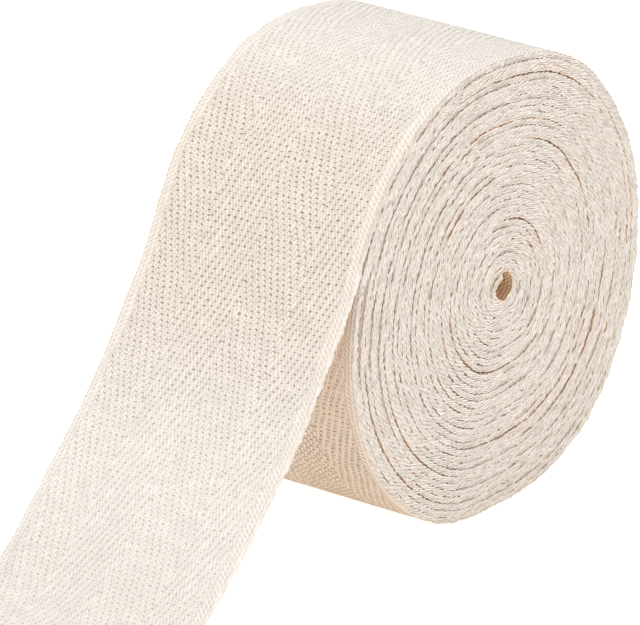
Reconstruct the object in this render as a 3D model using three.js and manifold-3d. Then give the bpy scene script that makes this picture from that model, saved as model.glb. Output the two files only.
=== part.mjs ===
// Roll of cotton herringbone webbing with a loose end, millimetres, +Z up.
// The roll's axis runs along X and the loose end runs out towards -Y.
// Sections are drawn as seen from the near end of the roll (+X), with Y to the right and Z up.
import * as THREE from 'three';
import { mergeVertices } from 'three/addons/utils/BufferGeometryUtils.js';
import Module from 'manifold-3d';

const wasm = await Module();
wasm.setup();

// Webbing
const WEBBING_WIDTH = 50;
const WEBBING_THICKNESS = 1.3;
const TURN_PITCH = 1.38;

// Roll: heights and sizes in its end view, angles in degrees from +Y over the top to -Y
const AXIS_HEIGHT = 46.4;
const MEAN_RADIUS = 48;
const LEAVES_AT = 157;
const OUTLINE_SPACING = 15;
const ARC_STEP = 5;
const EYE_STEPS = 24;

// Distance of the outer turn from the axis, all the way round from where the tape has left
const OUTLINE = [
  { angle: 157, radius: 46.6 },
  { angle: 172, radius: 46.75 },
  { angle: 187, radius: 47.0 },
  { angle: 202, radius: 47.2 },
  { angle: 217, radius: 47.45 },
  { angle: 232, radius: 47.8 },
  { angle: 247, radius: 48.0 },
  { angle: 262, radius: 47.3 },
  { angle: 277, radius: 47.0 },
  { angle: 292, radius: 48.0 },
  { angle: 307, radius: 49.1 },
  { angle: 322, radius: 49.0 },
  { angle: 337, radius: 48.5 },
  { angle: 352, radius: 48.1 },
  { angle: 367, radius: 48.0 },
  { angle: 382, radius: 48.1 },
  { angle: 397, radius: 47.9 },
  { angle: 412, radius: 48.3 },
  { angle: 427, radius: 47.9 },
  { angle: 442, radius: 47.2 },
  { angle: 457, radius: 47.7 },
  { angle: 472, radius: 48.3 },
  { angle: 487, radius: 48.3 },
  { angle: 502, radius: 48.3 },
  { angle: 517, radius: 48.4 },
];

// Open eye at the middle, pinched where the tape's inner end curls in
const EYE = new THREE.Vector2(2.4, -0.3);
const EYE_OUTLINE = [
  { angle: 0, radius: 3.2 },
  { angle: 30, radius: 3.1 },
  { angle: 60, radius: 3.2 },
  { angle: 90, radius: 3.3 },
  { angle: 120, radius: 1.9 },
  { angle: 150, radius: 2.2 },
  { angle: 180, radius: 3.0 },
  { angle: 210, radius: 3.0 },
  { angle: 240, radius: 2.9 },
  { angle: 270, radius: 3.1 },
  { angle: 300, radius: 3.0 },
  { angle: 330, radius: 3.1 },
];

// Outer turns that have slid back from an end: deepest at one angle, level again at another
const LEDGE_REACH = 8;
const PAST_OUTLINE = 1.1;
const LEDGES = [
  { side: 1, turns: 1, from: 157, to: 262, deepest: 172, level: 262, depth: 2.4 },
  { side: 1, turns: 3, from: 157, to: 247, deepest: 182, level: 247, depth: 1.1 },
  { side: -1, turns: 2, from: 232, to: 352, deepest: 287, level: 232, depth: 1.4 },
];

// Gaps between turns that have opened up, at a share of the way from the eye to the outline
const CLOSED_SHARE = 0.08;
const GAPS = [
  { side: 1, share: 0.185, from: 320, to: 430, width: 0.8, depth: 1.5 },
  { side: 1, share: 0.265, from: 360, to: 470, width: 0.7, depth: 1.3 },
  { side: 1, share: 0.32, from: 157, to: 290, width: 0.8, depth: 1.5 },
  { side: 1, share: 0.455, from: 450, to: 517, width: 0.7, depth: 1.2 },
  { side: 1, share: 0.61, from: 355, to: 440, width: 0.7, depth: 1.2 },
  { side: 1, share: 0.665, from: 245, to: 345, width: 0.9, depth: 2.2 },
  { side: 1, share: 0.74, from: 277, to: 365, width: 1.1, depth: 2.6 },
  { side: 1, share: 0.72, from: 405, to: 512, width: 0.7, depth: 1.2 },
  { side: 1, share: 0.85, from: 290, to: 372, width: 0.8, depth: 1.4 },
  { side: 1, share: 0.925, from: 395, to: 475, width: 0.9, depth: 1.6 },
  { side: -1, share: 0.3, from: 200, to: 330, width: 0.8, depth: 1.5 },
  { side: -1, share: 0.52, from: 345, to: 470, width: 0.8, depth: 1.4 },
  { side: -1, share: 0.7, from: 180, to: 290, width: 0.9, depth: 1.8 },
  { side: -1, share: 0.86, from: 400, to: 505, width: 0.9, depth: 1.6 },
];

// Loose end: middle of its thickness, out from the axis towards the front, and up or down
const LOOSE_GAP = 0.4;
const FALL = [
  { out: 43.95, up: 18.66 },
  { out: 48.7, up: 9.9 },
  { out: 53.7, up: 2.7 },
  { out: 58.3, up: -4.2 },
  { out: 63.4, up: -10.9 },
  { out: 69.3, up: -17.4 },
  { out: 75.8, up: -23.7 },
  { out: 82.3, up: -29.9 },
  { out: 89.5, up: -36.4 },
];
const TOUCHES_AT = 114;
const CUT_AT = 134;
const BEND_PULL = 10;
const FALL_STEPS = 32;
const BEND_STEPS = 10;

const COTTON = { color: 0xf3e9dc, roughness: 0.92, metalness: 0 };

// Section plane (right, up) to the object's Y and Z, with the extrusion along X
const SECTION_TO_OBJECT = new THREE.Matrix4().makeBasis(
  new THREE.Vector3(0, 1, 0),
  new THREE.Vector3(0, 0, 1),
  new THREE.Vector3(1, 0, 0),
);

function polar(angle, radius) {
  const turned = THREE.MathUtils.degToRad(angle);
  return new THREE.Vector2(radius * Math.cos(turned), radius * Math.sin(turned));
}

function anglesBetween(from, to) {
  const count = Math.round((to - from) / ARC_STEP);
  return Array.from({ length: count + 1 }, (_, i) => from + ((to - from) * i) / count);
}

// Radius of the outer turn, smooth through the rows of the table
function radiusAt(angle) {
  const last = OUTLINE.length - 1;
  const place = THREE.MathUtils.clamp((angle - LEAVES_AT) / OUTLINE_SPACING, 0, last);
  const row = Math.min(Math.floor(place), last - 1);
  const t = place - row;
  const value = (i) => OUTLINE[THREE.MathUtils.clamp(i, 0, last)].radius;
  const slope = (i) => (value(i + 1) - value(i - 1)) / 2;
  const rise = value(row + 1) - value(row);
  const c2 = 3 * rise - 2 * slope(row) - slope(row + 1);
  const c3 = slope(row) + slope(row + 1) - 2 * rise;
  return value(row) + t * (slope(row) + t * (c2 + t * c3));
}

// Point of the outer turn, pressed flat where the roll lies on the surface
function outlinePoint(angle) {
  const point = polar(angle, radiusAt(angle));
  point.y = Math.max(point.y, -AXIS_HEIGHT);
  return point;
}

// Point part of the way from the eye to the outline
function windingPoint(angle, share) {
  return EYE.clone().lerp(outlinePoint(angle), share);
}

function alongAxis(shape, start, length) {
  const geometry = new THREE.ExtrudeGeometry(shape, { depth: length, bevelEnabled: false });
  geometry.translate(0, 0, start);
  return geometry.applyMatrix4(SECTION_TO_OBJECT);
}

function toSolid(geometry) {
  geometry.deleteAttribute('normal');
  geometry.deleteAttribute('uv');
  const merged = mergeVertices(geometry, 1e-4);
  return new wasm.Manifold(new wasm.Mesh({
    numProp: 3,
    vertProperties: merged.attributes.position.array,
    triVerts: new Uint32Array(merged.index.array),
  }));
}

function toGeometry(solid) {
  const mesh = solid.getMesh();
  const geometry = new THREE.BufferGeometry();
  geometry.setAttribute('position', new THREE.BufferAttribute(mesh.vertProperties, 3));
  geometry.setIndex(new THREE.BufferAttribute(mesh.triVerts, 1));
  geometry.computeVertexNormals();
  return geometry;
}

// Cutter over an arc of an end face, between two shares of the way out that depend on the angle
function faceCutter(side, from, to, inner, outer, depth) {
  const angles = anglesBetween(from, to);
  const near = angles.map((angle) => windingPoint(angle, inner(angle)));
  const far = angles.map((angle) => windingPoint(angle, outer(angle)));
  const length = depth * 2;
  const start = side * (WEBBING_WIDTH / 2) - length / 2;
  return alongAxis(new THREE.Shape([...near, ...far.reverse()]), start, length);
}

// A gap is widest at its middle and closes almost to nothing at both ends
function gapCutter({ side, share, from, to, width, depth }) {
  const half = (angle) => {
    const open = Math.sin((Math.PI * (angle - from)) / (to - from));
    return (Math.max(open, CLOSED_SHARE) * width) / 2 / MEAN_RADIUS;
  };
  const inner = (angle) => share - half(angle);
  const outer = (angle) => share + half(angle);
  return faceCutter(side, from, to, inner, outer, depth);
}

// A ledge is cut by a band that leans, so that the turns fan out from level to deepest
function ledgeCutter({ side, turns, from, to, deepest, level, depth }) {
  const inner = 1 - (turns * TURN_PITCH) / MEAN_RADIUS;
  const band = faceCutter(side, from, to, () => inner, () => PAST_OUTLINE, LEDGE_REACH);
  const pivot = outlinePoint(level);
  const run = outlinePoint(deepest).sub(pivot);
  const lean = Math.atan2(depth, run.length());
  const hinge = new THREE.Vector3(0, -run.y, run.x).normalize();
  band.translate(side * (LEDGE_REACH - WEBBING_WIDTH / 2), -pivot.x, -pivot.y);
  band.applyMatrix4(new THREE.Matrix4().makeRotationAxis(hinge, side * lean));
  return band.translate(side * (WEBBING_WIDTH / 2), pivot.x, pivot.y);
}

// The wound part: spiral outline, eye, set-back outer turns and open gaps
function rollGeometry() {
  const outline = anglesBetween(LEAVES_AT, LEAVES_AT + 360).map(outlinePoint);
  const shape = new THREE.Shape(outline);
  const rim = EYE_OUTLINE.map(({ angle, radius }) => polar(angle, radius).add(EYE));
  shape.holes.push(new THREE.Path(new THREE.SplineCurve([...rim, rim[0]]).getPoints(EYE_STEPS)));
  let solid = toSolid(alongAxis(shape, -WEBBING_WIDTH / 2, WEBBING_WIDTH));
  const cutters = [...LEDGES.map(ledgeCutter), ...GAPS.map(gapCutter)];
  for (const cutter of cutters) {
    solid = solid.subtract(toSolid(cutter));
  }
  return toGeometry(solid);
}

// Middle line of the loose end: the fall, the bend on to the surface and the flat stretch
function looseLine() {
  const fall = FALL.map(({ out, up }) => new THREE.Vector2(-out, up));
  const away = polar(LEAVES_AT + 90, LOOSE_GAP);
  fall[0].add(away);
  const lowest = fall[fall.length - 1];
  const heading = lowest.clone().sub(fall[fall.length - 2]).normalize();
  const surface = -AXIS_HEIGHT + WEBBING_THICKNESS / 2;
  const touch = new THREE.Vector2(-TOUCHES_AT, surface);
  const bend = new THREE.CubicBezierCurve(
    lowest,
    lowest.clone().addScaledVector(heading, BEND_PULL),
    touch.clone().add(new THREE.Vector2(BEND_PULL, 0)),
    touch,
  );
  const end = new THREE.Vector2(-CUT_AT, surface);
  return [...new THREE.SplineCurve(fall).getPoints(FALL_STEPS), ...bend.getPoints(BEND_STEPS).slice(1), end];
}

// The loose end is a sheet of even thickness along its middle line
function looseEndGeometry() {
  const line = looseLine();
  const across = line.map((point, i) => {
    const before = line[Math.max(i - 1, 0)];
    const after = line[Math.min(i + 1, line.length - 1)];
    const direction = after.clone().sub(before).normalize();
    return new THREE.Vector2(direction.y, -direction.x).multiplyScalar(WEBBING_THICKNESS / 2);
  });
  const top = line.map((point, i) => point.clone().add(across[i]));
  const under = line.map((point, i) => point.clone().sub(across[i]));
  const section = new THREE.Shape([...top, ...under.reverse()]);
  return alongAxis(section, -WEBBING_WIDTH / 2, WEBBING_WIDTH);
}

function cottonMesh(name, geometry) {
  const mesh = new THREE.Mesh(geometry, new THREE.MeshStandardMaterial(COTTON));
  mesh.name = name;
  return mesh;
}

// The origin is under the middle of the whole object, on the surface
const webbing = new THREE.Group();
webbing.add(cottonMesh('roll', rollGeometry()), cottonMesh('loose_end', looseEndGeometry()));
const reach = new THREE.Box3().setFromObject(webbing);
webbing.position.set(0, -(reach.min.y + reach.max.y) / 2, -reach.min.z);

const object = new THREE.Group();
object.add(webbing);

export default object;
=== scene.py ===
import math

import bpy
import numpy as np
from mathutils import Matrix, Vector


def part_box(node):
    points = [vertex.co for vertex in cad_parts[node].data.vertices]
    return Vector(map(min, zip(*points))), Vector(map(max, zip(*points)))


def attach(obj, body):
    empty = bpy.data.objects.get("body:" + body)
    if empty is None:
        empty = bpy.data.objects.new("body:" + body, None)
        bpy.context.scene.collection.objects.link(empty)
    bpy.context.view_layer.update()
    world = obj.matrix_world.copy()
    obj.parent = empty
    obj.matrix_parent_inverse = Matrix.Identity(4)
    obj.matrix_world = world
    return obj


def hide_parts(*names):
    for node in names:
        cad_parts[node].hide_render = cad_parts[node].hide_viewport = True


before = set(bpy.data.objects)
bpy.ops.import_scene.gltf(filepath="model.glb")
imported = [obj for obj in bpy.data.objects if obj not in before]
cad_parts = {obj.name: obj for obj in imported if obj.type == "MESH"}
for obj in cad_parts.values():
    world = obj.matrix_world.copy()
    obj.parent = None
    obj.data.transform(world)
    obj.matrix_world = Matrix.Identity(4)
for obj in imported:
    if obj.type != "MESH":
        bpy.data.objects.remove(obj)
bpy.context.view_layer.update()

# Roll of cotton herringbone webbing with a loose end.
# Lengths are in millimetres until a mesh, a lamp or the camera is made, and angles are in degrees.
# Sections are seen from the near end of the roll (+X): angles run from +Y over the top to -Y.
METRES = 0.001

# Webbing: its width, half its thickness, and the least height of its underside
WIDTH = 50.0
HALF_THICK = 0.66
LIES_ABOVE = 0.02

# Weave: pitch of the picks and of the warp ends, picks in a repeat, the ends, counted from the
# middle, where the twill turns, and the height of its relief
PICK = 1.064
END_PITCH = 0.385
REPEAT = 4
REVERSALS = (-31, 1, 34)
FLOAT_RELIEF = 0.035
PICK_RELIEF = 0.025

# Selvedge: its width, pitch and height of its lengthwise ribs, place of the first from the edge,
# and where the weave fades into it
SELVEDGE = 2.3
RIB_PITCH = 0.95
RIB_RELIEF = 0.035
FIRST_RIB = 0.75
WEAVE_BEGINS = (SELVEDGE - 0.4, SELVEDGE + 0.2)

# Blunt edges: their depth and swelling, and the loops of weft on them, their length in picks,
# lean in loops, how far they stand up and out, and the slant of their strands
EDGE_ROUND = 0.15
BLUNTNESS = 0.4
EDGE_SWELL = 0.06
LOOP_PICKS = 1.5
LOOP_LEAN = 1.1
LOOP_RISE = 0.075
LOOP_REACH = 0.07
STRAND_LEAN = 20.0

# Unevenness of the cloth: height, then seed, shortest and longest wave. The two edges read
# theirs at a place to each side, so that they differ. From CALM_EDGE inwards the lay of the
# threads begins to wander.
LAY_SLOW = (0.20, 1, 9.0, 24.0)
LAY_QUICK = (0.07, 2, 3.0, 7.0)
LAY_ALONG = (0.15, 3, 2.6, 9.0)
FACE_SWELL = (0.02, 4, 14.0, 40.0)
EDGE_BEND = (0.10, 5, 2.6, 9.0)
EDGE_STRAY = (0.085, 6, 1.6, 7.0)
BEND_PLACE = 17
STRAY_PLACE = 7
FIELD_WAVES = 14
CALM_EDGE = 1.0

# How finely the shapes are sampled: degrees of the spiral, steps along the webbing, points of
# the loose end's three parts, and the columns round a section
ANGLE_STEP = 0.1
STEPS_A_PICK = 4
SMOOTHED_STEPS = 3
FALL_POINTS = 600
BEND_POINTS = 300
FLAT_POINTS = 200
EDGE_TURNS = (-75, -45, -15, 15, 45, 75)
RIB_COLUMNS = 8
RIBS_FROM = 0.2
RIBS_TO = 0.15
BACK_COLUMNS = 5
BACK_INSET = 1

# Winding: height of the axis, where the loose end is cut, both ends of the spiral, and the
# middle of the eye. Underneath, turns are pressed flat PRESSED_PITCH apart, the outermost
# LOWEST_TURN degrees before the tape leaves the roll, where it lifts off over LIFT_SPAN.
AXIS_HEIGHT = 46.4
CUT_AT = 134.0
INNER_ANGLE = 105.0
INNER_RADIUS = 2.55
LEAVES_AT = 157.0
WHOLE_TURNS = 33
LEAVE_ANGLE = LEAVES_AT + WHOLE_TURNS * 360
LEAVE_RADIUS = 47.75
EYE = (2.4, -0.3)
TURNS = (LEAVE_ANGLE - INNER_ANGLE) / 360
PRESSED_PITCH = 1.343
PRESS_SOFTNESS = 0.25
SQUASH = 0.006
LOWEST_TURN = 247.0
LEAVE_LIFT = 0.4
LIFT_SPAN = 15.0

# How far the outer turn stands from the axis, every 15 degrees from where the tape leaves
OUTER_REFERENCE = 48.4
OUTER_SPACING = 15.0
OUTER_RADII = (
    47.98, 48.07, 48.27, 48.41, 48.60, 48.89, 49.04, 48.28, 47.92, 48.86, 49.90, 49.75,
    49.19, 48.73, 48.58, 48.62, 48.36, 48.70, 48.25, 47.49, 47.93, 48.47, 48.40, 48.36,
)

# How far the first turn round the eye departs from an even spiral
EYE_ANGLES = (105, 120, 150, 180, 210, 240, 270, 300, 330, 360, 390, 420, 450, 465)
EYE_OFFSETS = (0.0, -0.06, 0.13, 0.81, 0.7, 0.48, 0.57, 0.35, 0.34, 0.32, 0.11, 0.09, 0.08, 0.0)
EYE_FADE = 1.5

# Uneven winding: waves in each turn, height, place and drift from turn to turn
WOBBLE = (
    (2, 0.16, 40, 9),
    (3, 0.14, 210, -7),
    (5, 0.09, 100, 11),
    (8, 0.05, 300, -14),
    (13, 0.03, 10, 17),
)

# Turns that sit further in or out along the axis: waves in each turn, height and place, and for
# the loose end height, length in millimetres for each radian, and start
SLIDE = (
    (0.31, 0.08, 30),
    (0.73, 0.06, 200),
    (1.37, 0.04, 310),
    (2.21, 0.035, 80),
    (3.64, 0.025, 150),
)
LOOSE_SLIDE = (
    (0.12, 23, 0),
    (0.08, 9.1, 1),
)

# Outer turns slid along the axis: turn counted inwards, angle of the deepest place,
# reach before and after it, and how far, towards +X
SET_BACKS = (
    {"turn": 2, "deepest": 168, "before": 14, "after": 42, "slide": -1.1},
    {"turn": 3, "deepest": 195, "before": 30, "after": 50, "slide": -0.25},
    {"turn": 4, "deepest": 172, "before": 16, "after": 40, "slide": -0.4},
    {"turn": 6, "deepest": 180, "before": 20, "after": 50, "slide": -0.35},
    {"turn": 1, "deepest": 290, "before": 50, "after": 60, "slide": 0.3},
    {"turn": 2, "deepest": 284, "before": 50, "after": 60, "slide": 0.2},
)

# Gaps that have opened between turns, at a share of the way from the eye to the outline. Turns
# inside a gap take GAP_INWARDS of its width and turns outside it GAP_OUTWARDS, less over the
# last GAP_OUTER_TURNS, and both less with each turn away from it, over GAP_REACH turns.
GAP_REACH = 7.0
GAP_INWARDS = 0.6
GAP_OUTWARDS = 0.5
GAP_OUTER_TURNS = 5
GAPS = (
    {"side": 1, "share": 0.185, "from": 320, "to": 430, "width": 0.25},
    {"side": 1, "share": 0.265, "from": 360, "to": 470, "width": 0.2},
    {"side": 1, "share": 0.32, "from": 157, "to": 290, "width": 0.25},
    {"side": 1, "share": 0.455, "from": 450, "to": 517, "width": 0.2},
    {"side": 1, "share": 0.61, "from": 355, "to": 440, "width": 0.2},
    {"side": 1, "share": 0.665, "from": 245, "to": 345, "width": 0.3},
    {"side": 1, "share": 0.74, "from": 277, "to": 365, "width": 0.35},
    {"side": 1, "share": 0.72, "from": 405, "to": 512, "width": 0.2},
    {"side": 1, "share": 0.78, "from": 185, "to": 250, "width": 0.2},
    {"side": 1, "share": 0.85, "from": 290, "to": 372, "width": 0.25},
    {"side": 1, "share": 0.9, "from": 180, "to": 250, "width": 0.22},
    {"side": 1, "share": 0.925, "from": 395, "to": 475, "width": 0.3},
    {"side": -1, "share": 0.3, "from": 200, "to": 330, "width": 0.25},
    {"side": -1, "share": 0.52, "from": 345, "to": 470, "width": 0.25},
    {"side": -1, "share": 0.7, "from": 180, "to": 290, "width": 0.3},
    {"side": -1, "share": 0.86, "from": 400, "to": 505, "width": 0.3},
)

# Loose end: middle of its thickness, out from the axis towards the front, and up. Its far edge
# is lifted most at a share of its length, and comes down again over a share of it.
FALL = (
    (43.95, 18.66),
    (48.7, 9.9),
    (53.7, 2.7),
    (58.3, -4.2),
    (63.4, -10.9),
    (69.3, -17.4),
    (75.8, -23.7),
    (82.3, -29.9),
    (89.5, -36.4),
)
TOUCHES_AT = 114.0
BEND_PULL = 10.0
FAR_EDGE_LIFT = 0.8
LIFTED_AT = 0.45
LIFT_FALLS = 0.35

# Where less light reaches the cotton, painted warm bounce light and shade. The eye: turns from
# its start, and depth as a share of half the thickness. Gaps: depth, and how much they count.
EYE_TURNS = (0.9, 1.4)
EYE_DEPTH = (0.4, 0.97)
GAP_DEPTH = (0.3, 1.0)
GAP_SHARE = 0.3

# Painted shadow behind the loose end, in degrees round the roll from where the tape leaves it:
# where it starts, grows from SHADE_START to all, and ends; how it fades, to SHADE_AT_RIM, at the edges
SHADE_STARTS = (-20, 10)
SHADE_GROWS = (20, 85)
SHADE_ENDS = (95, 160)
SHADE_START = 0.6
SHADE_RIM = (0.2, 2.6)
SHADE_AT_RIM = 0.3
SHADE_UNDERSIDE = 0.3

# The nip, where the loose end leaves the roll: light comes off cotton there and not shade, so
# warm bounce light is painted there, and less of the painted shadow and hollow shade
NIP_STARTS = (-20, 0)
NIP_ENDS = (12, 55)
NIP_RIM = (0.0, 1.5)
NIP_WARM_BOUNCE = 0.58
NIP_CLEARS = 0.85
NIP_HOLLOWS = 0.6

# The painted hollow shade is lighter where the surface faces up, and along the loose end, and is
# kept on the edges
LIT_FACING = (0.75, 1.0)
LIT_HOLLOWS = 0.45
LOOSE_FADES = (5, 60)
LOOSE_HOLLOWS = 0.5
LOOSE_EDGE_HOLLOWS = 0.3

# Camera: degrees round and above the roll, distance, and how far to the right of and above the
# middle of the frame the roll's axis lies, in pixels. The lens is a focal length in pixels.
CAMERA_ROUND = 37.45
CAMERA_ABOVE = 21.686
CAMERA_DISTANCE = 1640.6
CAMERA_ASIDE = (75.085, 52.204)
FRAME_WIDTH = 640
FOCAL_PIXELS = 8273.9
SENSOR = 36.0
FARTHEST = 100

axis_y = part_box("loose_end")[0][1] / METRES + CUT_AT
AXIS = np.array([0.0, axis_y, AXIS_HEIGHT])


def through(values, place):
    """Smooth curve through evenly spaced values that repeat, at a place counted in values:
    the cubic whose slope at each value is half the step between its two neighbours."""
    values = np.asarray(values, dtype=float)
    row = np.floor(place).astype(int)
    t = place - row
    before, here, after, beyond = (values[(row + k) % len(values)] for k in (-1, 0, 1, 2))
    start, finish = (after - before) / 2, (beyond - here) / 2
    rise = after - here
    bend = 3 * rise - 2 * start - finish
    turn = start + finish - 2 * rise
    return here + t * (start + t * (bend + t * turn))


def spline(points, count):
    """Natural cubic curve through points, spaced by the distance between them: second
    derivatives from the usual three-term equations, then each span's cubic."""
    points = np.asarray(points, dtype=float)
    knots = np.r_[0, np.cumsum(np.linalg.norm(np.diff(points, axis=0), axis=1))]
    gap = np.diff(knots)
    inner = np.arange(1, len(points) - 1)
    system = np.eye(len(points))
    system[inner, inner - 1] = gap[:-1]
    system[inner, inner] = 2 * (gap[:-1] + gap[1:])
    system[inner, inner + 1] = gap[1:]
    slopes = np.diff(points, axis=0) / gap[:, None]
    right = np.zeros_like(points)
    right[1:-1] = 6 * np.diff(slopes, axis=0)
    second = np.linalg.solve(system, right)
    at = np.linspace(0, knots[-1], count)
    span = np.clip(np.searchsorted(knots, at, side="right") - 1, 0, len(gap) - 1)
    a = ((knots[span + 1] - at) / gap[span])[:, None]
    b = 1 - a
    width = gap[span][:, None] ** 2 / 6
    curved = ((a**3 - a) * second[span] + (b**3 - b) * second[span + 1]) * width
    return a * points[span] + b * points[span + 1] + curved


def hump(angle, centre, before, after):
    """Smooth rise from 0 to 1 over the reach before centre, and back to 0 over the reach after."""
    reach = np.where(angle < centre, before, after)
    t = np.clip(np.abs(angle - centre) / reach, 0, 1)
    return (1 + np.cos(np.pi * t)) / 2


def ease(value, start, finish):
    """0 before start, 1 after finish, smooth between."""
    t = np.clip((value - start) / (finish - start), 0, 1)
    return t * t * (3 - 2 * t)


def wound_line(angle):
    """Middle of the webbing's thickness in the wound turns. Its distance from a centre that
    moves from the eye to the axis is an even spiral, plus the first turn's own shape, fading,
    the outer turn's shape, growing, and the wobble. The lower half is squashed a little, and
    its outer turns are pressed flat by a corner that is rounded as the logarithm of 1 plus an
    exponential."""
    share = (angle - INNER_ANGLE) / (LEAVE_ANGLE - INNER_ANGLE)
    radius = INNER_RADIUS + (LEAVE_RADIUS - INNER_RADIUS) * share
    first = np.interp((angle - INNER_ANGLE) % 360, np.subtract(EYE_ANGLES, INNER_ANGLE), EYE_OFFSETS)
    radius += first * np.exp(-share * TURNS / EYE_FADE)
    shape = through(OUTER_RADII, (angle - LEAVE_ANGLE) / OUTER_SPACING) - OUTER_REFERENCE
    radius += shape * share
    radius += LEAVE_LIFT * ease(angle, LEAVE_ANGLE - LIFT_SPAN, LEAVE_ANGLE)
    turned = np.radians(angle)
    drifted = turned / (2 * math.pi)
    uneven = sum(
        height * np.cos(waves * turned + math.radians(place) + math.radians(drift) * drifted)
        for waves, height, place, drift in WOBBLE
    )
    radius += uneven * 4 * share * (1 - share)
    y = EYE[0] * (1 - share) + radius * np.cos(turned)
    z = EYE[1] * (1 - share) + radius * np.sin(turned)
    outside = np.maximum((LEAVE_ANGLE - angle - LOWEST_TURN) / 360, 0)
    z = np.where(z < 0, z * (1 - SQUASH), z)
    floor = HALF_THICK - AXIS_HEIGHT + PRESSED_PITCH * outside
    above = (z - floor) / PRESS_SOFTNESS
    pressed = floor + PRESS_SOFTNESS * np.logaddexp(0, above)
    z = np.where(z < 0, z + (pressed - z) * share**2, z)
    return np.stack([y, z], axis=1)


def loose_line():
    """Middle of the thickness of the loose end: the fall, a cubic bend on to the surface,
    and the flat stretch."""
    fall = spline([(-out, up) for out, up in FALL], FALL_POINTS)
    heading = fall[-1] - fall[-2]
    heading = heading / np.linalg.norm(heading)
    surface = HALF_THICK - AXIS_HEIGHT
    touch = np.array([-TOUCHES_AT, surface])
    pulls = [fall[-1], fall[-1] + heading * BEND_PULL, touch + [BEND_PULL, 0], touch]
    t = np.linspace(0, 1, BEND_POINTS)[1:, None]
    weights = [(1 - t) ** 3, 3 * t * (1 - t) ** 2, 3 * t**2 * (1 - t), t**3]
    bend = sum(weight * pull for weight, pull in zip(weights, pulls))
    out = np.linspace(TOUCHES_AT, CUT_AT, FLAT_POINTS)[1:]
    flat = np.stack([-out, np.full_like(out, surface)], axis=1)
    return np.vstack([fall, bend, flat])


def smoothed(values, spread):
    """Columns of values softened by a bell of that many samples."""
    reach = int(spread * 3)
    bell = np.exp(-0.5 * (np.arange(-reach, reach + 1) / spread) ** 2)
    bell /= bell.sum()
    padded = np.pad(values, ((reach, reach), (0, 0)), mode="reflect", reflect_type="odd")
    return np.stack([np.convolve(column, bell, mode="valid") for column in padded.T], axis=1)


def opened(angle, side):
    """How far the gaps on one side push the webbing out at that edge: turns inside a gap
    move in and turns outside it move out, less with each turn away from it. Also how open
    a gap is just outside and just inside the webbing there."""
    share = (angle - INNER_ANGLE) / (LEAVE_ANGLE - INNER_ANGLE)
    push, over, below = np.zeros((3, len(angle)))
    for gap in GAPS:
        if gap["side"] != side:
            continue
        middle = (gap["from"] + gap["to"]) / 2
        reached = INNER_ANGLE + gap["share"] * (LEAVE_ANGLE - INNER_ANGLE)
        inside = middle + 360 * math.floor((reached - middle) / 360)
        turn = np.round((angle - inside) / 360)
        off = angle - inside - 360 * turn
        open_here = np.cos(np.pi * np.clip(off / (gap["to"] - gap["from"]), -0.5, 0.5))
        away = np.where(turn <= 0, -turn, turn - 1)
        free = np.clip((1 - share) * TURNS / GAP_OUTER_TURNS, 0, 1)
        room = np.where(turn <= 0, -GAP_INWARDS, GAP_OUTWARDS * free)
        push += room * gap["width"] * open_here * np.exp(-away / GAP_REACH)
        over += open_here * (turn == 0)
        below += open_here * (turn == 1)
    return np.stack([push, over, below])


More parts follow.
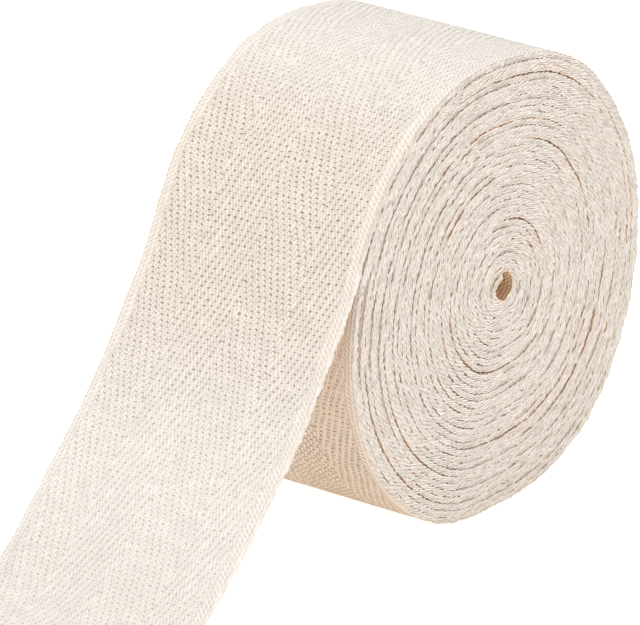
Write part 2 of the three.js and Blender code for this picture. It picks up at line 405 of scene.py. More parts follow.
class Tape:
    """The whole length of webbing, measured along its middle line in even steps of a quarter
    of a pick, with the direction outwards and what moves it at each step: how far it slides
    along the axis, and how far its near and its far edge are pushed out."""

    def __init__(self):
        angle = np.arange(INNER_ANGLE, LEAVE_ANGLE, ANGLE_STEP)
        line = np.vstack([wound_line(angle), loose_line()])
        length = np.r_[0, np.cumsum(np.linalg.norm(np.diff(line, axis=0), axis=1))]
        self.step = PICK / STEPS_A_PICK
        self.along = np.arange(0, length[-1], self.step)
        self.leaves = length[len(angle)]
        even = [np.interp(self.along, length, column) for column in line.T]
        self.line = smoothed(np.stack(even, axis=1), SMOOTHED_STEPS)
        self.angle = np.interp(self.along, length[: len(angle) + 1], np.r_[angle, LEAVE_ANGLE])
        forward = np.gradient(self.line, axis=0)
        forward /= np.linalg.norm(forward, axis=1)[:, None]
        self.outwards = np.stack([forward[:, 1], -forward[:, 0]], axis=1)
        self.slide = self.slid()
        past = self.along - self.leaves
        loose_length = self.along[-1] - self.leaves
        top = LIFTED_AT * loose_length
        lift = hump(past, top, top, LIFT_FALLS * loose_length)
        wound = past < 0
        self.near, *self.near_gaps = opened(self.angle, 1) * wound
        self.far, *self.far_gaps = opened(self.angle, -1) * wound
        self.far = self.far + FAR_EDGE_LIFT * lift * ~wound

    def slid(self):
        """Places along the axis: waves that differ from turn to turn, those of the loose end,
        and the set-back turns."""
        turned = np.radians(self.angle)
        past = np.maximum(self.along - self.leaves, 0)
        waved = sum(height * np.cos(waves * turned + math.radians(place)) for waves, height, place in SLIDE)
        waved += sum(height * np.sin(past / length + start) for height, length, start in LOOSE_SLIDE)
        for row in SET_BACKS:
            deepest = row["deepest"] + LEAVE_ANGLE - LEAVES_AT - 360 * row["turn"]
            waved += row["slide"] * hump(self.angle, deepest, row["before"], row["after"])
        return waved

    def painted_light_shares(self, steps, across, height, lift):
        """Three shares from 0 to 1 of light and shade painted on the cotton. How much warm bounce
        light is painted on it, deep in the eye, in open gaps and in the nip, where light comes off
        other cotton. How much of the painted shadow behind the loose end lies on it. How dark its
        painted hollow shade looks, less where light shines straight in, in the nip and along the
        loose end. lift is how far the surface faces upwards, from -1 to 1."""
        angle = self.angle[steps][:, None]
        past = self.along[steps][:, None] - self.leaves
        wound, loose = past < 0, past > 0
        outer, inner = height > 0, height < 0
        from_edge = WIDTH / 2 - np.abs(across)
        eye = (1 - ease((angle - INNER_ANGLE) / 360, *EYE_TURNS)) * ease(-height, *EYE_DEPTH)
        over, below = (
            np.where(across > 0, near[steps][:, None], far[steps][:, None])
            for near, far in zip(self.near_gaps, self.far_gaps)
        )
        gaps = over * ease(height, *GAP_DEPTH) + below * ease(-height, *GAP_DEPTH)
        # Warm bounce light painted deep in the eye, in open gaps and in the nip
        warm_bounce = np.clip(eye + GAP_SHARE * gaps, 0, 1)

        behind = angle - (LEAVE_ANGLE - 360)
        nip = ease(behind, *NIP_STARTS) * (1 - ease(behind, *NIP_ENDS)) * outer * wound
        warm_bounce = np.maximum(warm_bounce, NIP_WARM_BOUNCE * nip * ease(from_edge, *NIP_RIM))

        # Painted shadow behind the loose end, and on the loose end's underside
        grown = SHADE_START + (1 - SHADE_START) * ease(behind, *SHADE_GROWS)
        reached = ease(behind, *SHADE_STARTS) * grown * (1 - ease(behind, *SHADE_ENDS))
        rim = SHADE_AT_RIM + (1 - SHADE_AT_RIM) * ease(from_edge, *SHADE_RIM)
        shade = reached * outer * rim * wound
        shade = np.clip(shade + SHADE_UNDERSIDE * loose * inner, 0, 1)
        shade = shade * (1 - NIP_CLEARS * nip)

        hollows = 1 - LIT_HOLLOWS * ease(lift, *LIT_FACING) * wound
        hollows = hollows * (1 - LOOSE_HOLLOWS * ease(past, *LOOSE_FADES))
        hollows = hollows * (1 - NIP_HOLLOWS * nip)
        edge_hollows = np.where(wound, 1.0, LOOSE_EDGE_HOLLOWS)
        hollows = np.where(from_edge < EDGE_ROUND, edge_hollows, hollows)
        return np.stack([warm_bounce, shade, hollows], axis=-1)


def twill_phase(end):
    """Picks by which the twill has moved at a warp end: one a thread, turned at each reversal."""
    return end - 2 * sum(
        sign * np.maximum(end - turn, 0) for sign, turn in zip((1, -1, 1), REVERSALS)
    )


def relief(across, along):
    """Raised pattern of the outer face: warp floats rise and dip once in a repeat, further on
    with each end, each pick swells, and towards the edges there are lengthwise ribs instead."""
    end = np.floor(across / END_PITCH)
    floats = FLOAT_RELIEF * np.cos(2 * np.pi * (along / PICK - twill_phase(end)) / REPEAT)
    picks = PICK_RELIEF * np.cos(2 * np.pi * (along / PICK - 0.5))
    from_edge = WIDTH / 2 - np.abs(across)
    ribs = RIB_RELIEF * np.cos(2 * np.pi * (from_edge - FIRST_RIB) / RIB_PITCH)
    woven = ease(from_edge, *WEAVE_BEGINS)
    return (floats + picks) * woven + ribs * (1 - woven)


def ripples(across, along, unevenness):
    """Smooth uneven field: the sum of level waves in seeded directions, with lengths from the
    shortest to the longest, times the height over its usual spread."""
    height, seed, shortest, longest = unevenness
    draw = np.random.default_rng(seed)
    waves = 2 * np.pi / draw.uniform(shortest, longest, FIELD_WAVES)
    ways, starts = draw.uniform(0, 2 * np.pi, (2, FIELD_WAVES))
    field = np.zeros(np.broadcast(across, along).shape)
    for wave, way, start in zip(waves, ways, starts):
        field += np.cos(wave * (across * np.cos(way) + along * np.sin(way)) + start)
    return height * (field / math.sqrt(FIELD_WAVES / 2))


def section(fine):
    """Ring round the webbing's section: distance across, height as a share of half the
    thickness, and how much of the face's relief it takes. Edges are blunt half rounds."""
    turn = np.radians(EDGE_TURNS)
    edge = WIDTH / 2 - EDGE_ROUND
    blunt = np.sign(np.sin(turn)) * np.abs(np.sin(turn)) ** BLUNTNESS
    near = np.stack([edge + EDGE_ROUND * np.cos(turn) ** BLUNTNESS, blunt, 0 * turn], axis=1)
    far = near[::-1] * [-1, 1, 1]
    if fine:
        ends = math.floor((WIDTH / 2 - SELVEDGE) / END_PITCH)
        woven = (np.arange(-ends, ends) + 0.5) * END_PITCH
        ribbed = np.linspace(WIDTH / 2 - SELVEDGE + RIBS_FROM, edge - RIBS_TO, RIB_COLUMNS)
        top = np.sort(np.r_[-ribbed, woven, ribbed])[::-1]
        under = np.linspace(-edge + BACK_INSET, edge - BACK_INSET, BACK_COLUMNS)
    else:
        top = under = np.zeros(1)
    face = np.stack([top, np.ones_like(top), np.full_like(top, float(fine))], axis=1)
    back = np.stack([under, -np.ones_like(under), 0 * under], axis=1)
    return np.vstack([near, face, far, back])


def tape_mesh(name, tape, first, last, fine):
    """Closed length of webbing from one step to another. Each point is the middle line, plus
    outwards its height, relief and push of its edge, plus along the axis its place across.
    The blunt edges carry two rows of leaning loops, half a loop apart, where the weft turns
    back, and wander a little. Directions come from the surface with a step more at each end."""
    ring = section(fine)
    across, height, raised = ring[:, 0], ring[:, 1], ring[:, 2]
    kept = slice(1, -1)
    steps = np.clip(np.arange(first - 1, last + 2), 0, len(tape.along) - 1)
    along = tape.along[steps][:, None]
    edge_share = np.clip((np.abs(across) - (WIDTH / 2 - EDGE_ROUND)) / EDGE_ROUND, 0, 1)
    side = np.sign(across)
    row = np.where(height > 0, 0.5, 0.0)
    loops = np.cos(2 * np.pi * (along / (PICK * LOOP_PICKS) + LOOP_LEAN * height + row))
    bend = ripples(BEND_PLACE * side, along, EDGE_BEND)
    stray = ripples(STRAY_PLACE * side, along, EDGE_STRAY)
    outward = HALF_THICK * height * (1 + EDGE_SWELL * edge_share)
    outward = outward + edge_share * (LOOP_RISE * loops * np.sign(height) + stray)
    lay_across = across + 0 * along
    lay_along = along + 0 * across
    if fine:
        free = ease(WIDTH / 2 - np.abs(across), CALM_EDGE, SELVEDGE)
        lay_across = lay_across + free * ripples(across, along, LAY_SLOW)
        lay_across = lay_across + free * ripples(across, along, LAY_QUICK)
        lay_along = lay_along + free * ripples(across, along, LAY_ALONG)
        outward = outward + raised * relief(lay_across, lay_along)
        outward = outward + ripples(across, along, FACE_SWELL) * (1 - edge_share)
    near_share = across / WIDTH + 0.5
    outward = outward + tape.near[steps][:, None] * near_share
    outward = outward + tape.far[steps][:, None] * (1 - near_share)
    swelled = edge_share * (LOOP_REACH * loops + bend)
    sideways = across + side * swelled + tape.slide[steps][:, None]
    line, out = tape.line[steps], tape.outwards[steps]
    points = np.empty((len(steps), len(ring), 3))
    points[..., 0] = sideways
    points[..., 1] = line[:, 0, None] + out[:, 0, None] * outward
    points[..., 2] = line[:, 1, None] + out[:, 1, None] * outward
    points += AXIS
    points[..., 2] = np.maximum(points[..., 2], LIES_ABOVE)
    round_it = np.roll(points, -1, axis=1) - np.roll(points, 1, axis=1)
    normals = np.cross(round_it, np.gradient(points, axis=0))[kept]
    normals /= np.linalg.norm(normals, axis=-1, keepdims=True)
    lay = np.stack([lay_across, lay_along, height * HALF_THICK + 0 * along], axis=-1)
    painted_light = tape.painted_light_shares(steps[kept], across, height, normals[..., 2])
    return grid_object(name, points[kept] * METRES, normals, lay[kept], painted_light)


def grid_object(name, points, normals, lay, painted_light):
    """Mesh of rings joined into a closed tube with a flat face at both ends, shaded by the
    directions of the whole tape's surface so that lengths that meet look like one. It keeps
    where each point lies in the webbing, and the shares of light and shade painted on it."""
    rows, columns = points.shape[:2]
    count = rows * columns
    index = np.arange(count).reshape(rows, columns)
    beside = np.roll(index, -1, axis=1)
    quads = np.stack([index[:-1], beside[:-1], beside[1:], index[1:]], axis=-1).reshape(-1)
    walls = (rows - 1) * columns
    corners = np.r_[quads, index[0, ::-1], index[-1]].astype(np.int32)
    starts = np.r_[np.arange(walls) * 4, walls * 4, walls * 4 + columns].astype(np.int32)
    mesh = bpy.data.meshes.new(name)
    mesh.vertices.add(count)
    mesh.vertices.foreach_set("co", points.reshape(-1).astype(np.float32))
    mesh.loops.add(len(corners))
    mesh.loops.foreach_set("vertex_index", corners)
    mesh.polygons.add(walls + 2)
    mesh.polygons.foreach_set("loop_start", starts)
    smooth = np.ones(walls + 2, dtype=bool)
    smooth[-2:] = False
    mesh.polygons.foreach_set("use_smooth", smooth)
    mesh.update(calc_edges=True)
    facing = normals.reshape(-1, 3)[corners]
    for row, part in ((0, slice(-2 * columns, -columns)), (-1, slice(-columns, None))):
        a, b, c = (points[row, k] for k in (0, columns // 3, 2 * columns // 3))
        flat = np.cross(b - a, c - a) * (1 if row else -1)
        facing[part] = flat / np.linalg.norm(flat)
    mesh.normals_split_custom_set(facing.astype(np.float32))
    for key, values in (("lay", lay), ("painted_light", painted_light)):
        stored = mesh.attributes.new(key, "FLOAT_VECTOR", "POINT")
        stored.data.foreach_set("vector", values.reshape(-1).astype(np.float32))
    piece = bpy.data.objects.new(name, mesh)
    bpy.context.scene.collection.objects.link(piece)
    return piece


class Value:
    """A number socket, with arithmetic that adds Math nodes."""

    def __init__(self, maker, socket):
        self.maker = maker
        self.socket = socket

    def math(self, operation, *others):
        sockets = [other.socket if isinstance(other, Value) else other for other in others]
        node = self.maker.node("Math", {"operation": operation}, [self.socket, *sockets])
        return Value(self.maker, node.outputs[0])

    def __add__(self, other):
        return self.math("ADD", other)

    def __sub__(self, other):
        return self.math("SUBTRACT", other)

    def __mul__(self, other):
        return self.math("MULTIPLY", other)

    def __truediv__(self, other):
        return self.math("DIVIDE", other)

    def __rsub__(self, other):
        return (self * -1) + other

    __radd__ = __add__
    __rmul__ = __mul__

    def floor(self):
        return self.math("FLOOR")

    def wrapped(self, size):
        return self.math("FLOORED_MODULO", size)

    def size(self):
        return self.math("ABSOLUTE")

    def cos(self):
        return self.math("COSINE")

    def sqrt(self):
        return self.math("SQRT")

    def power(self, other):
        return self.math("POWER", other)

    def least(self, other):
        return self.math("MINIMUM", other)

    def most(self, other):
        return self.math("MAXIMUM", other)

    def above(self, other):
        return self.math("GREATER_THAN", other)

    def held(self, low, high):
        return self.most(low).least(high)

    def eased(self, start, finish):
        """0 at start and 1 at finish, smooth between."""
        t = ((self - start) / (finish - start)).held(0.0, 1.0)
        return t * t * (3 - 2 * t)

    def round_top(self):
        """Height of a round thread where this goes from -1 to 1 across it."""
        return (1 - self * self).most(0.0).sqrt()


class Finish:
    """A material being built: every node comes from node()."""

    def __init__(self, name):
        self.material = bpy.data.materials.new(name)
        self.material.use_nodes = True
        self.tree = self.material.node_tree
        self.tree.nodes.clear()

    def node(self, kind, settings=None, inputs=()):
        """A node of a type, with its settings set first, then the values or links of its sockets."""
        made = self.tree.nodes.new("ShaderNode" + kind)
        for key, value in (settings or {}).items():
            setattr(made, key, value)
        pairs = inputs.items() if isinstance(inputs, dict) else enumerate(inputs)
        for key, value in pairs:
            if isinstance(value, Value):
                value = value.socket
            if isinstance(value, bpy.types.NodeSocket):
                self.tree.links.new(value, made.inputs[key])
            else:
                made.inputs[key].default_value = value
        return made

    def value(self, socket):
        return Value(self, socket)

    def split(self, vector):
        """The three values of a vector."""
        parts = self.node("SeparateXYZ", inputs=[vector])
        return (self.value(parts.outputs[k]) for k in range(3))

    def joined(self, *parts):
        """A vector of three values."""
        return self.node("CombineXYZ", inputs=list(parts)).outputs[0]

    def noise(self, vector, scale, detail=2.0, roughness=0.5):
        inputs = {"Vector": vector, "Scale": scale, "Detail": detail, "Roughness": roughness}
        return self.value(self.node("TexNoise", inputs=inputs).outputs["Fac"])

    def stretched(self, vector, by):
        """The vector times a factor along each of its axes."""
        return self.node("VectorMath", {"operation": "MULTIPLY"}, [vector, by]).outputs[0]

    def random(self, *parts):
        """A number from 0 to 1 that is the same for the same whole numbers."""
        made = self.node("TexWhiteNoise", {"noise_dimensions": "3D"}, {"Vector": self.joined(*parts)})
        return self.value(made.outputs["Value"])

    def mixed(self, factor, first, second, blend="MIX"):
        settings = {"data_type": "RGBA", "blend_type": blend}
        return self.node("Mix", settings, {0: factor, 6: first, 7: second}).outputs[2]


# Finish of the cotton: its colour, painted shade in the hollows (also the fibres' darker patches),
# painted warm bounce light, the painted shadow behind the loose end, and seed flecks
COTTON = (0.93, 0.855, 0.78, 1)
COTTON_HOLLOW_SHADE_AND_FIBRES = (0.36, 0.26, 0.19, 1)
COTTON_WARM_BOUNCE = (0.94, 0.67, 0.44, 1)
COTTON_SHADED = (0.93, 0.86, 0.75, 1)
COTTON_SPECK = (0.16, 0.09, 0.05, 1)

# Noises of the cotton: stretch along each axis, then scale, detail and roughness. The strands
# stretch across the webbing, along them and from one to the next.
SLOW_SCALE = 0.11
FIBRES = ((1, 0.35, 1), 7.0, 3.0, 0.6)
TUFTS = ((1, 0.5, 1), 2.4, 1.0, 0.6)
SEAMS = ((1.2, 0.6, 1.4), 1.0, 2.0, 0.5)
STRANDS = (0.5, 0.45, 2.4)
STRAND_NOISE = (1.0, 3.0, 0.6)
FLOAT_SEED = 3.0
PICK_SEED = 7.0
HOLLOW_SEED = 11.0

# Where one kind of surface gives way to the next: from the weave to the ribs, from the faces to
# the edges, from the middle of a row of loops to its sides, and from the middle of the edge to
# the seam between turns. From and to which height a warp float counts as a crest, where a
# highlight is painted.
WEAVE_FADE = 0.3
EDGE_FADE = 0.25
ROW_SIDES = (0.35, 1.0)
SEAM_SIDES = (0.5, 1.0)
CRESTS = (0.06, 0.14)

# Heights of the threads in the bump, where 1 stands for BUMP_SCALE millimetres, and how much
# the threads differ. Hollows have their place in the repeat, sharpness along it and in a pick.
BUMP_SCALE = 2
WARP = {"wave": 0.10, "round": 0.07, "differs": 0.03, "lowered": 0.03, "slants": 0.55, "slants_over": 1.2}
WEFT = {"round": 0.11, "pressed": 0.05, "differs": 0.05, "lowered": 0.05}
DEEP_HOLLOW = {"after": 2.5, "sharp": 1.8, "short": 2.8, "least": 0.75, "differs": 0.5, "height": 0.12}
FAINT_HOLLOW = {"after": 0.5, "sharp": 2.2, "height": 0.04}
RIB = {"height": 0.03, "slants": 5.0, "strays": 9, "strand": 0.035, "shaded_strand": 0.03}
LOOP = {"height": 0.19, "flatter_between": 0.5, "strays": 0.4, "strands": 0.30}
FIBRE_HEIGHT = 0.05

# Painted shade in the low places, between threads, ribs, loops and turns: between which heights it
# darkens, or between which values of the noise of seams and strands, and how much each adds; how
# much the fibres and tufts darken at random, and how much darker all is in the painted shadow
LOW_WEAVE = {"between": (-0.03, 0.11), "threads": 0.44, "picks": 0.12, "deep": 0.60, "faint": 0.08}
LOW_RIB = {"between": (-0.08, 0.06), "ribs": 0.38, "shaded": 0.3}
LOW_LOOP = {"rows": 0.06, "between": (0.42, 0.62), "loops": 0.40, "strands": 0.24, "dark": (0.54, 0.40)}
LOW_FIBRES = 0.18
LOW_TUFTS = 0.20
LOW_SHADED = 0.8

# Tone of the thread, 1 being the full colour: its level and what varies it, with a painted
# highlight on the crests of warp floats; then the edges made lighter: all of them, the loose
# end's with painted light where light reaches them, and near the faces
TONE_AND_HIGHLIGHT = {"level": 0.94, "slow": 0.03, "floats": 0.03, "painted_crest_highlight": 0.07, "fibres": 0.08, "tufts": 0.26}
EDGE_TONE_AND_LIGHT = {"all": 0.055, "loose": 0.12, "seam": 0.12}

# Painted warm bounce light where turns touch each other: on all of the edges, in their seams, in
# patches of them; and on the faces, more where less light shines straight in
WARM_EDGE = 0.08
WARM_SEAM = 0.24
WARM_PATCH = 0.24
PATCHES = (0.4, 0.65)
WARM_HOLLOWS = 0.32

# Seed flecks: cells to a millimetre, share of the cells left plain, reach in cells, strength
SPECKS = {"cells": 0.22, "plain": 0.95, "reach": (0.02, 0.05), "strength": 0.8}

# Floor: its white, its grain and how strong that is, half its size in metres, and its glow
FLOOR_WHITE = (0.90, 0.90, 0.90, 1)
FLOOR_GRAIN = (0.88, 0.88, 0.88, 1)
GRAIN_NOISE = (40.0, 3.0)
GRAIN_STRENGTH = 0.2
FLOOR_REACH = 6.0
FLOOR_GLOW = (1.0, 1.0, 1.0, 1)
FLOOR_GLOW_STRENGTH = 0.7


def twill_moves(end):
    """Picks by which the twill has moved at a warp end, and the way that it moves there."""
    first, second, third = ((end - turn) for turn in REVERSALS)
    moved = end - 2 * (first.most(0.0) - second.most(0.0) + third.most(0.0))
    way = 1 - 2 * (first.above(0.0) - second.above(0.0) + third.above(0.0))
    return moved, way


def weave(finish, across, along):
    """Heights in the woven part. A warp end is a wave of four picks with a round back that slants
    with the twill, one pick further at each end, and a pick is a round thread pressed down
    under it. A dark hollow and a faint one follow each float. Gives the height, the hollows,
    the warp, a number for each float, and the round of the pick."""
    quarter = 2 * math.pi / REPEAT
    x, y = across / END_PITCH, along / PICK
    end = x.floor()
    moved, way = twill_moves(end)
    side = (x - end - 0.5) * 2
    rise = ((y - moved) * quarter).cos()
    own = finish.random(end, ((y - moved) / REPEAT + 0.5).floor(), FLOAT_SEED)
    float_at = (y - moved + REPEAT / 2).wrapped(REPEAT) - REPEAT / 2
    slanted = side + way * float_at.held(-WARP["slants_over"], WARP["slants_over"]) * WARP["slants"]
    warp = rise * WARP["wave"] + slanted.round_top() * WARP["round"]
    warp = warp + (own - 0.5) * WARP["differs"] - WARP["lowered"]

    pick = y.floor()
    pick_top = ((y - pick - 0.5) * 2).round_top()
    weft_own = finish.random(pick, (x / 2).floor(), PICK_SEED)
    weft = pick_top * WEFT["round"] - rise * WEFT["pressed"] - WEFT["lowered"]
    weft = weft + (weft_own - 0.5) * WEFT["differs"]

    smooth_moved, _ = twill_moves(x)
    at_pick = 0.5 - (y * (2 * math.pi)).cos() * 0.5
    own_hollow = finish.random((x + 0.5).floor(), pick, HOLLOW_SEED)
    deep = 0.5 + ((y - smooth_moved - DEEP_HOLLOW["after"]) * quarter).cos() * 0.5
    deep = deep.power(DEEP_HOLLOW["sharp"]) * at_pick.power(DEEP_HOLLOW["short"])
    deep = deep * (DEEP_HOLLOW["least"] + own_hollow * DEEP_HOLLOW["differs"])
    faint = 0.5 + ((y - smooth_moved - FAINT_HOLLOW["after"]) * quarter).cos() * 0.5
    faint = faint.power(FAINT_HOLLOW["sharp"]) * at_pick
    woven = warp.most(weft) - deep * DEEP_HOLLOW["height"] - faint * FAINT_HOLLOW["height"]
    return woven, deep, faint, warp, own, pick_top


def cotton():
    """Undyed herringbone cotton, woven on the faces, ribbed along the selvedges, and on the
    edges two rows of round loops with strands that slant across them. Shade is painted darker
    and browner in low places, warm bounce light in enclosed places and where turns touch, a
    highlight on the crests of the warp floats, and the shadow behind the loose end; the edges
    are lighter, the loose end's with painted light, and seed flecks sit in a few cells."""
    finish = Finish("cotton_webbing")
    lay = finish.node("Attribute", {"attribute_name": "lay"}).outputs["Vector"]
    across, along, height = finish.split(lay)
    painted_light = finish.node("Attribute", {"attribute_name": "painted_light"}).outputs["Vector"]
    warm_bounce, shaded, hollows = finish.split(painted_light)
    slow = finish.noise(lay, SLOW_SCALE)
    fibres, tufts, seams = (
        finish.noise(finish.stretched(lay, stretch), scale, detail, roughness)
        for stretch, scale, detail, roughness in (FIBRES, TUFTS, SEAMS)
    )
    woven, deep, faint, warp, own, pick_top = weave(finish, across, along)

    y = along / PICK
    from_edge = WIDTH / 2 - across.size()
    rib = ((from_edge - FIRST_RIB) * (2 * math.pi / RIB_PITCH)).cos() * RIB["height"]
    strand = (y * (2 * math.pi) + from_edge * RIB["slants"] + slow * RIB["strays"]).cos()
    ribbed = rib + strand * (shaded * RIB["shaded_strand"] + RIB["strand"])

    level = height / HALF_THICK
    lean = math.radians(STRAND_LEAN)
    over = height * math.cos(lean) + along * math.sin(lean)
    down = along * math.cos(lean) - height * math.sin(lean)
    strands = finish.joined(*(value * by for value, by in zip((across, down, over), STRANDS)))
    dashes = finish.noise(strands, *STRAND_NOISE)
    loop_at = y / LOOP_PICKS + level * LOOP_LEAN + level.above(0.0) * 0.5
    loop_at = loop_at + (dashes - 0.5) * LOOP["strays"]
    loop_top = ((loop_at + 0.5).wrapped(1.0) * 2 - 1).round_top()
    row_edge = (level.size() * 2 - 1).size().eased(*ROW_SIDES)
    looped = loop_top * (1 - row_edge * LOOP["flatter_between"]) * LOOP["height"]
    looped = looped + (dashes - 0.5) * LOOP["strands"]

    in_weave = from_edge.eased(SELVEDGE - WEAVE_FADE, SELVEDGE + WEAVE_FADE)
    on_edge = 1 - from_edge.eased(EDGE_ROUND, EDGE_ROUND + EDGE_FADE)
    on_ribs = (1 - in_weave) * (1 - on_edge)
    surface = woven * in_weave + ribbed * on_ribs + looped * on_edge
    surface = surface + (fibres - 0.5) * FIBRE_HEIGHT

    # Shade painted in the low places: between the threads and picks and in the hollows of the weave,
    # between the ribs, and between the loops and in the seams between turns
    weave_shade = (1 - woven.eased(*LOW_WEAVE["between"])) * LOW_WEAVE["threads"]
    weave_shade = weave_shade + (1 - pick_top) * LOW_WEAVE["picks"]
    weave_shade = (weave_shade + deep * LOW_WEAVE["deep"] + faint * LOW_WEAVE["faint"]) * hollows
    rib_shade = (1 - ribbed.eased(*LOW_RIB["between"])) * (LOW_RIB["ribs"] + shaded * LOW_RIB["shaded"])
    loop_shade = row_edge * seams.eased(*LOW_LOOP["between"]) * LOW_LOOP["rows"]
    loop_shade = loop_shade + (1 - loop_top) * LOW_LOOP["loops"]
    loop_shade = (loop_shade + dashes.eased(*LOW_LOOP["dark"]) * LOW_LOOP["strands"]) * hollows
    # All the painted hollow shade, with the fibres' and tufts' own darker patches, deeper in the painted
    # shadow
    low = weave_shade * in_weave + rib_shade * on_ribs + loop_shade * on_edge
    low = low + (fibres - 0.5) * LOW_FIBRES + (tufts - 0.5) * LOW_TUFTS
    low = (low * (1 + shaded * LOW_SHADED)).held(0.0, 1.0)

    # A highlight painted on the crests of the warp floats
    crest_highlight = warp.eased(*CRESTS) * in_weave
    seam = level.size().eased(*SEAM_SIDES) * on_edge
    tone_and_painted_light = TONE_AND_HIGHLIGHT["level"] + (slow - 0.5) * TONE_AND_HIGHLIGHT["slow"] + (own - 0.5) * TONE_AND_HIGHLIGHT["floats"] * in_weave
    tone_and_painted_light = tone_and_painted_light + crest_highlight * TONE_AND_HIGHLIGHT["painted_crest_highlight"] + (fibres - 0.5) * TONE_AND_HIGHLIGHT["fibres"] + (tufts - 0.5) * TONE_AND_HIGHLIGHT["tufts"]
    # The edges made lighter: the loose end's with painted light where light reaches them, then near the
    # faces and all over
    tone_and_painted_light = tone_and_painted_light + on_edge * (1 - hollows) * EDGE_TONE_AND_LIGHT["loose"]
    tone_and_painted_light = tone_and_painted_light + seam * EDGE_TONE_AND_LIGHT["seam"] + on_edge * EDGE_TONE_AND_LIGHT["all"]
    grey = finish.node("CombineColor", inputs=[tone_and_painted_light, tone_and_painted_light, tone_and_painted_light]).outputs[0]
    # Warm bounce light painted where turns touch, on the edges and in their seams, and on the faces where
    # less light shines straight in
    pressed = on_edge * WARM_EDGE + seam * (WARM_SEAM + slow.eased(*PATCHES) * WARM_PATCH)
    warm_bounce_total = warm_bounce + pressed * hollows + (hollows - 0.5) * (1 - on_edge) * WARM_HOLLOWS
    cells = finish.node("TexVoronoi", {"feature": "F1"}, {"Vector": lay, "Scale": SPECKS["cells"]})
    chosen = finish.node("SeparateColor", inputs=[cells.outputs["Color"]]).outputs[0]
    speck = finish.value(chosen).above(SPECKS["plain"])
    speck = speck * (1 - finish.value(cells.outputs["Distance"]).eased(*SPECKS["reach"]))

    # Mixed in turn: painted hollow shade with the fibres' darker patches, tone with its painted highlight
    # and edge light, painted warm bounce light, painted shadow, seed flecks
    colour = finish.mixed(low, COTTON, COTTON_HOLLOW_SHADE_AND_FIBRES)
    colour = finish.mixed(1.0, colour, grey, "MULTIPLY")
    colour = finish.mixed(warm_bounce_total.held(0.0, 1.0), colour, COTTON_WARM_BOUNCE, "MULTIPLY")
    colour = finish.mixed(shaded, colour, COTTON_SHADED, "MULTIPLY")
    colour = finish.mixed(speck * SPECKS["strength"], colour, COTTON_SPECK)
    bump = finish.node(
        "Bump",
        inputs={"Strength": 1.0, "Distance": METRES * BUMP_SCALE, "Height": surface},
    )
    shader = finish.node(
        "BsdfPrincipled",
        inputs={
            "Base Color": colour,
            "Roughness": 0.93,
            "Normal": bump.outputs[0],
            "Specular IOR Level": 0.2,
            "Sheen Weight": 0.15,
            "Sheen Roughness": 0.6,
        },
    )
    finish.node("OutputMaterial", inputs={"Surface": shader.outputs[0]})
    return finish.material


def floor_finish():
    """Matt white acrylic, lit a little from below, with a very faint grain."""
    finish = Finish("floor_acrylic")
    place = finish.node("TexCoord").outputs["Object"]
    grain = finish.noise(place, *GRAIN_NOISE)
    colour = finish.mixed(grain * GRAIN_STRENGTH, FLOOR_WHITE, FLOOR_GRAIN)
    shader = finish.node(
        "BsdfPrincipled",
        inputs={
            "Base Color": colour,
            "Roughness": 0.95,
            "Specular IOR Level": 0.1,
            "Emission Color": FLOOR_GLOW,
            "Emission Strength": FLOOR_GLOW_STRENGTH,
        },
    )
    finish.node("OutputMaterial", inputs={"Surface": shader.outputs[0]})
    return finish.material


def make_floor():
    """Flat sheet on a grid of two parameters, large enough to fill every view."""
    ticks = np.linspace(-FLOOR_REACH, FLOOR_REACH, 3)
    x, y = np.meshgrid(ticks, ticks)
    points = np.stack([x, y, 0 * x], axis=-1).reshape(-1, 3)
    quads = [(0, 1, 4, 3), (1, 2, 5, 4), (3, 4, 7, 6), (4, 5, 8, 7)]
    mesh = bpy.data.meshes.new("floor")
    mesh.from_pydata([tuple(p) for p in points], [], quads)
    mesh.materials.append(floor_finish())
    floor = bpy.data.objects.new("floor", mesh)
    bpy.context.scene.collection.objects.link(floor)


def make_camera():
    """Camera at the photograph's angle: back from the roll's axis, then aside and down in its
    own frame so that the object lies where it does there."""
    turn, rise = math.radians(CAMERA_ROUND), math.radians(CAMERA_ABOVE)
    back = Vector((math.sin(turn) * math.cos(rise), -math.cos(turn) * math.cos(rise), math.sin(rise)))
    right = Vector((math.cos(turn), math.sin(turn), 0))
    up = back.cross(right)
    aside, above = (offset * CAMERA_DISTANCE / FOCAL_PIXELS for offset in CAMERA_ASIDE)
    place = Vector(AXIS) + back * CAMERA_DISTANCE - right * aside - up * above
    data = bpy.data.cameras.new("camera")
    data.sensor_width = SENSOR
    data.lens = SENSOR * FOCAL_PIXELS / FRAME_WIDTH
    data.clip_end = FARTHEST
    camera = bpy.data.objects.new("camera", data)
    facing = Matrix((right, up, back)).transposed().to_4x4()
    camera.matrix_world = Matrix.Translation(place * METRES) @ facing
    bpy.context.scene.collection.objects.link(camera)
    bpy.context.scene.camera = camera


# Soft lamps: place and size in metres, and watts, all aimed at one place in the roll
LAMPS = {
    "lamp_above": {"place": (-0.25, -0.15, 1.15), "size": 0.8, "watts": 10.8},
    "lamp_front_left": {"place": (-0.75, -1.0, 0.45), "size": 0.6, "watts": 0.7},
    "lamp_right": {"place": (1.2, -0.2, 0.6), "size": 1.0, "watts": 8.2},
}
LAMP_AIM = (0, 0, 0.045)
DAYLIGHT = (0.96, 0.985, 1.0)
WORLD_STRENGTH = 0.45


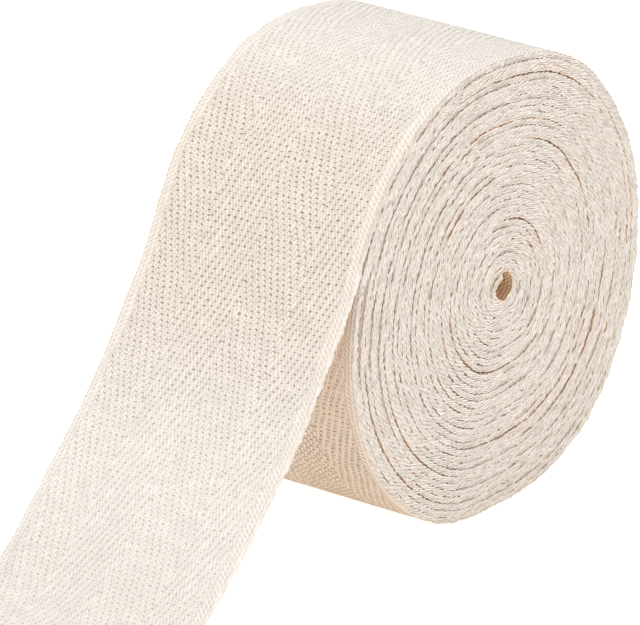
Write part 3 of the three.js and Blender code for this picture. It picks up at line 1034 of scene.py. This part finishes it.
def make_lights():
    """The lamps, an even pale surround, and plain view colours."""
    aim = Vector(LAMP_AIM)
    for name, row in LAMPS.items():
        data = bpy.data.lights.new(name, "AREA")
        data.size = row["size"]
        data.energy = row["watts"]
        data.color = DAYLIGHT
        lamp = bpy.data.objects.new(name, data)
        lamp.location = row["place"]
        lamp.rotation_euler = (aim - lamp.location).to_track_quat("-Z", "Y").to_euler()
        bpy.context.scene.collection.objects.link(lamp)
    world = bpy.data.worlds.new("studio")
    world.use_nodes = True
    shade = world.node_tree.nodes["Background"]
    shade.inputs["Color"].default_value = (*DAYLIGHT, 1)
    shade.inputs["Strength"].default_value = WORLD_STRENGTH
    bpy.context.scene.world = world
    bpy.context.scene.view_settings.view_transform = "Standard"


# Lengths of the one piece of webbing, from its inner end outwards. A length ends at a
# share of the plain turns, or at degrees before the place where the tape leaves the roll.
LAST_TURN = 365.0
HALF_TURN = 182.0


def make_webbing():
    """The webbing's six lengths in order, each in place of the CAD node that it belongs to."""
    tape = Tape()
    finish = cotton()
    leaves = int(round(tape.leaves / tape.step))
    plain = int(np.searchsorted(tape.angle, LEAVE_ANGLE - LAST_TURN))
    under = int(np.searchsorted(tape.angle, LEAVE_ANGLE - HALF_TURN))
    end = len(tape.along) - 1
    lengths = (
        ("inner_turns", 0, plain // 3, False, "roll", ["middle_turns"], "folded"),
        ("middle_turns", plain // 3, 2 * plain // 3, False, "roll", ["outer_turns"], "folded"),
        ("outer_turns", 2 * plain // 3, plain, False, "roll", ["last_turn_under"], "folded"),
        ("last_turn_under", plain, under, True, "roll", ["floor"], "folded"),
        ("last_turn_over", under, leaves, True, "roll", ["outer_turns"], "folded"),
        ("loose_tape", leaves, end, True, "loose_end", ["floor", "last_turn_over"], "draped"),
    )
    made = []
    for name, first, last, fine, node, rests_on, held in lengths:
        piece = tape_mesh(name, tape, first, last, fine)
        piece.data.materials.append(finish)
        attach(piece, "root")
        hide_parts(node)
        made.append((piece, (last - first) * tape.step, rests_on, held))
    for piece, length, rests_on, held in made:
        flat = (WIDTH * METRES, length * METRES)


make_floor()
make_camera()
make_lights()
make_webbing()
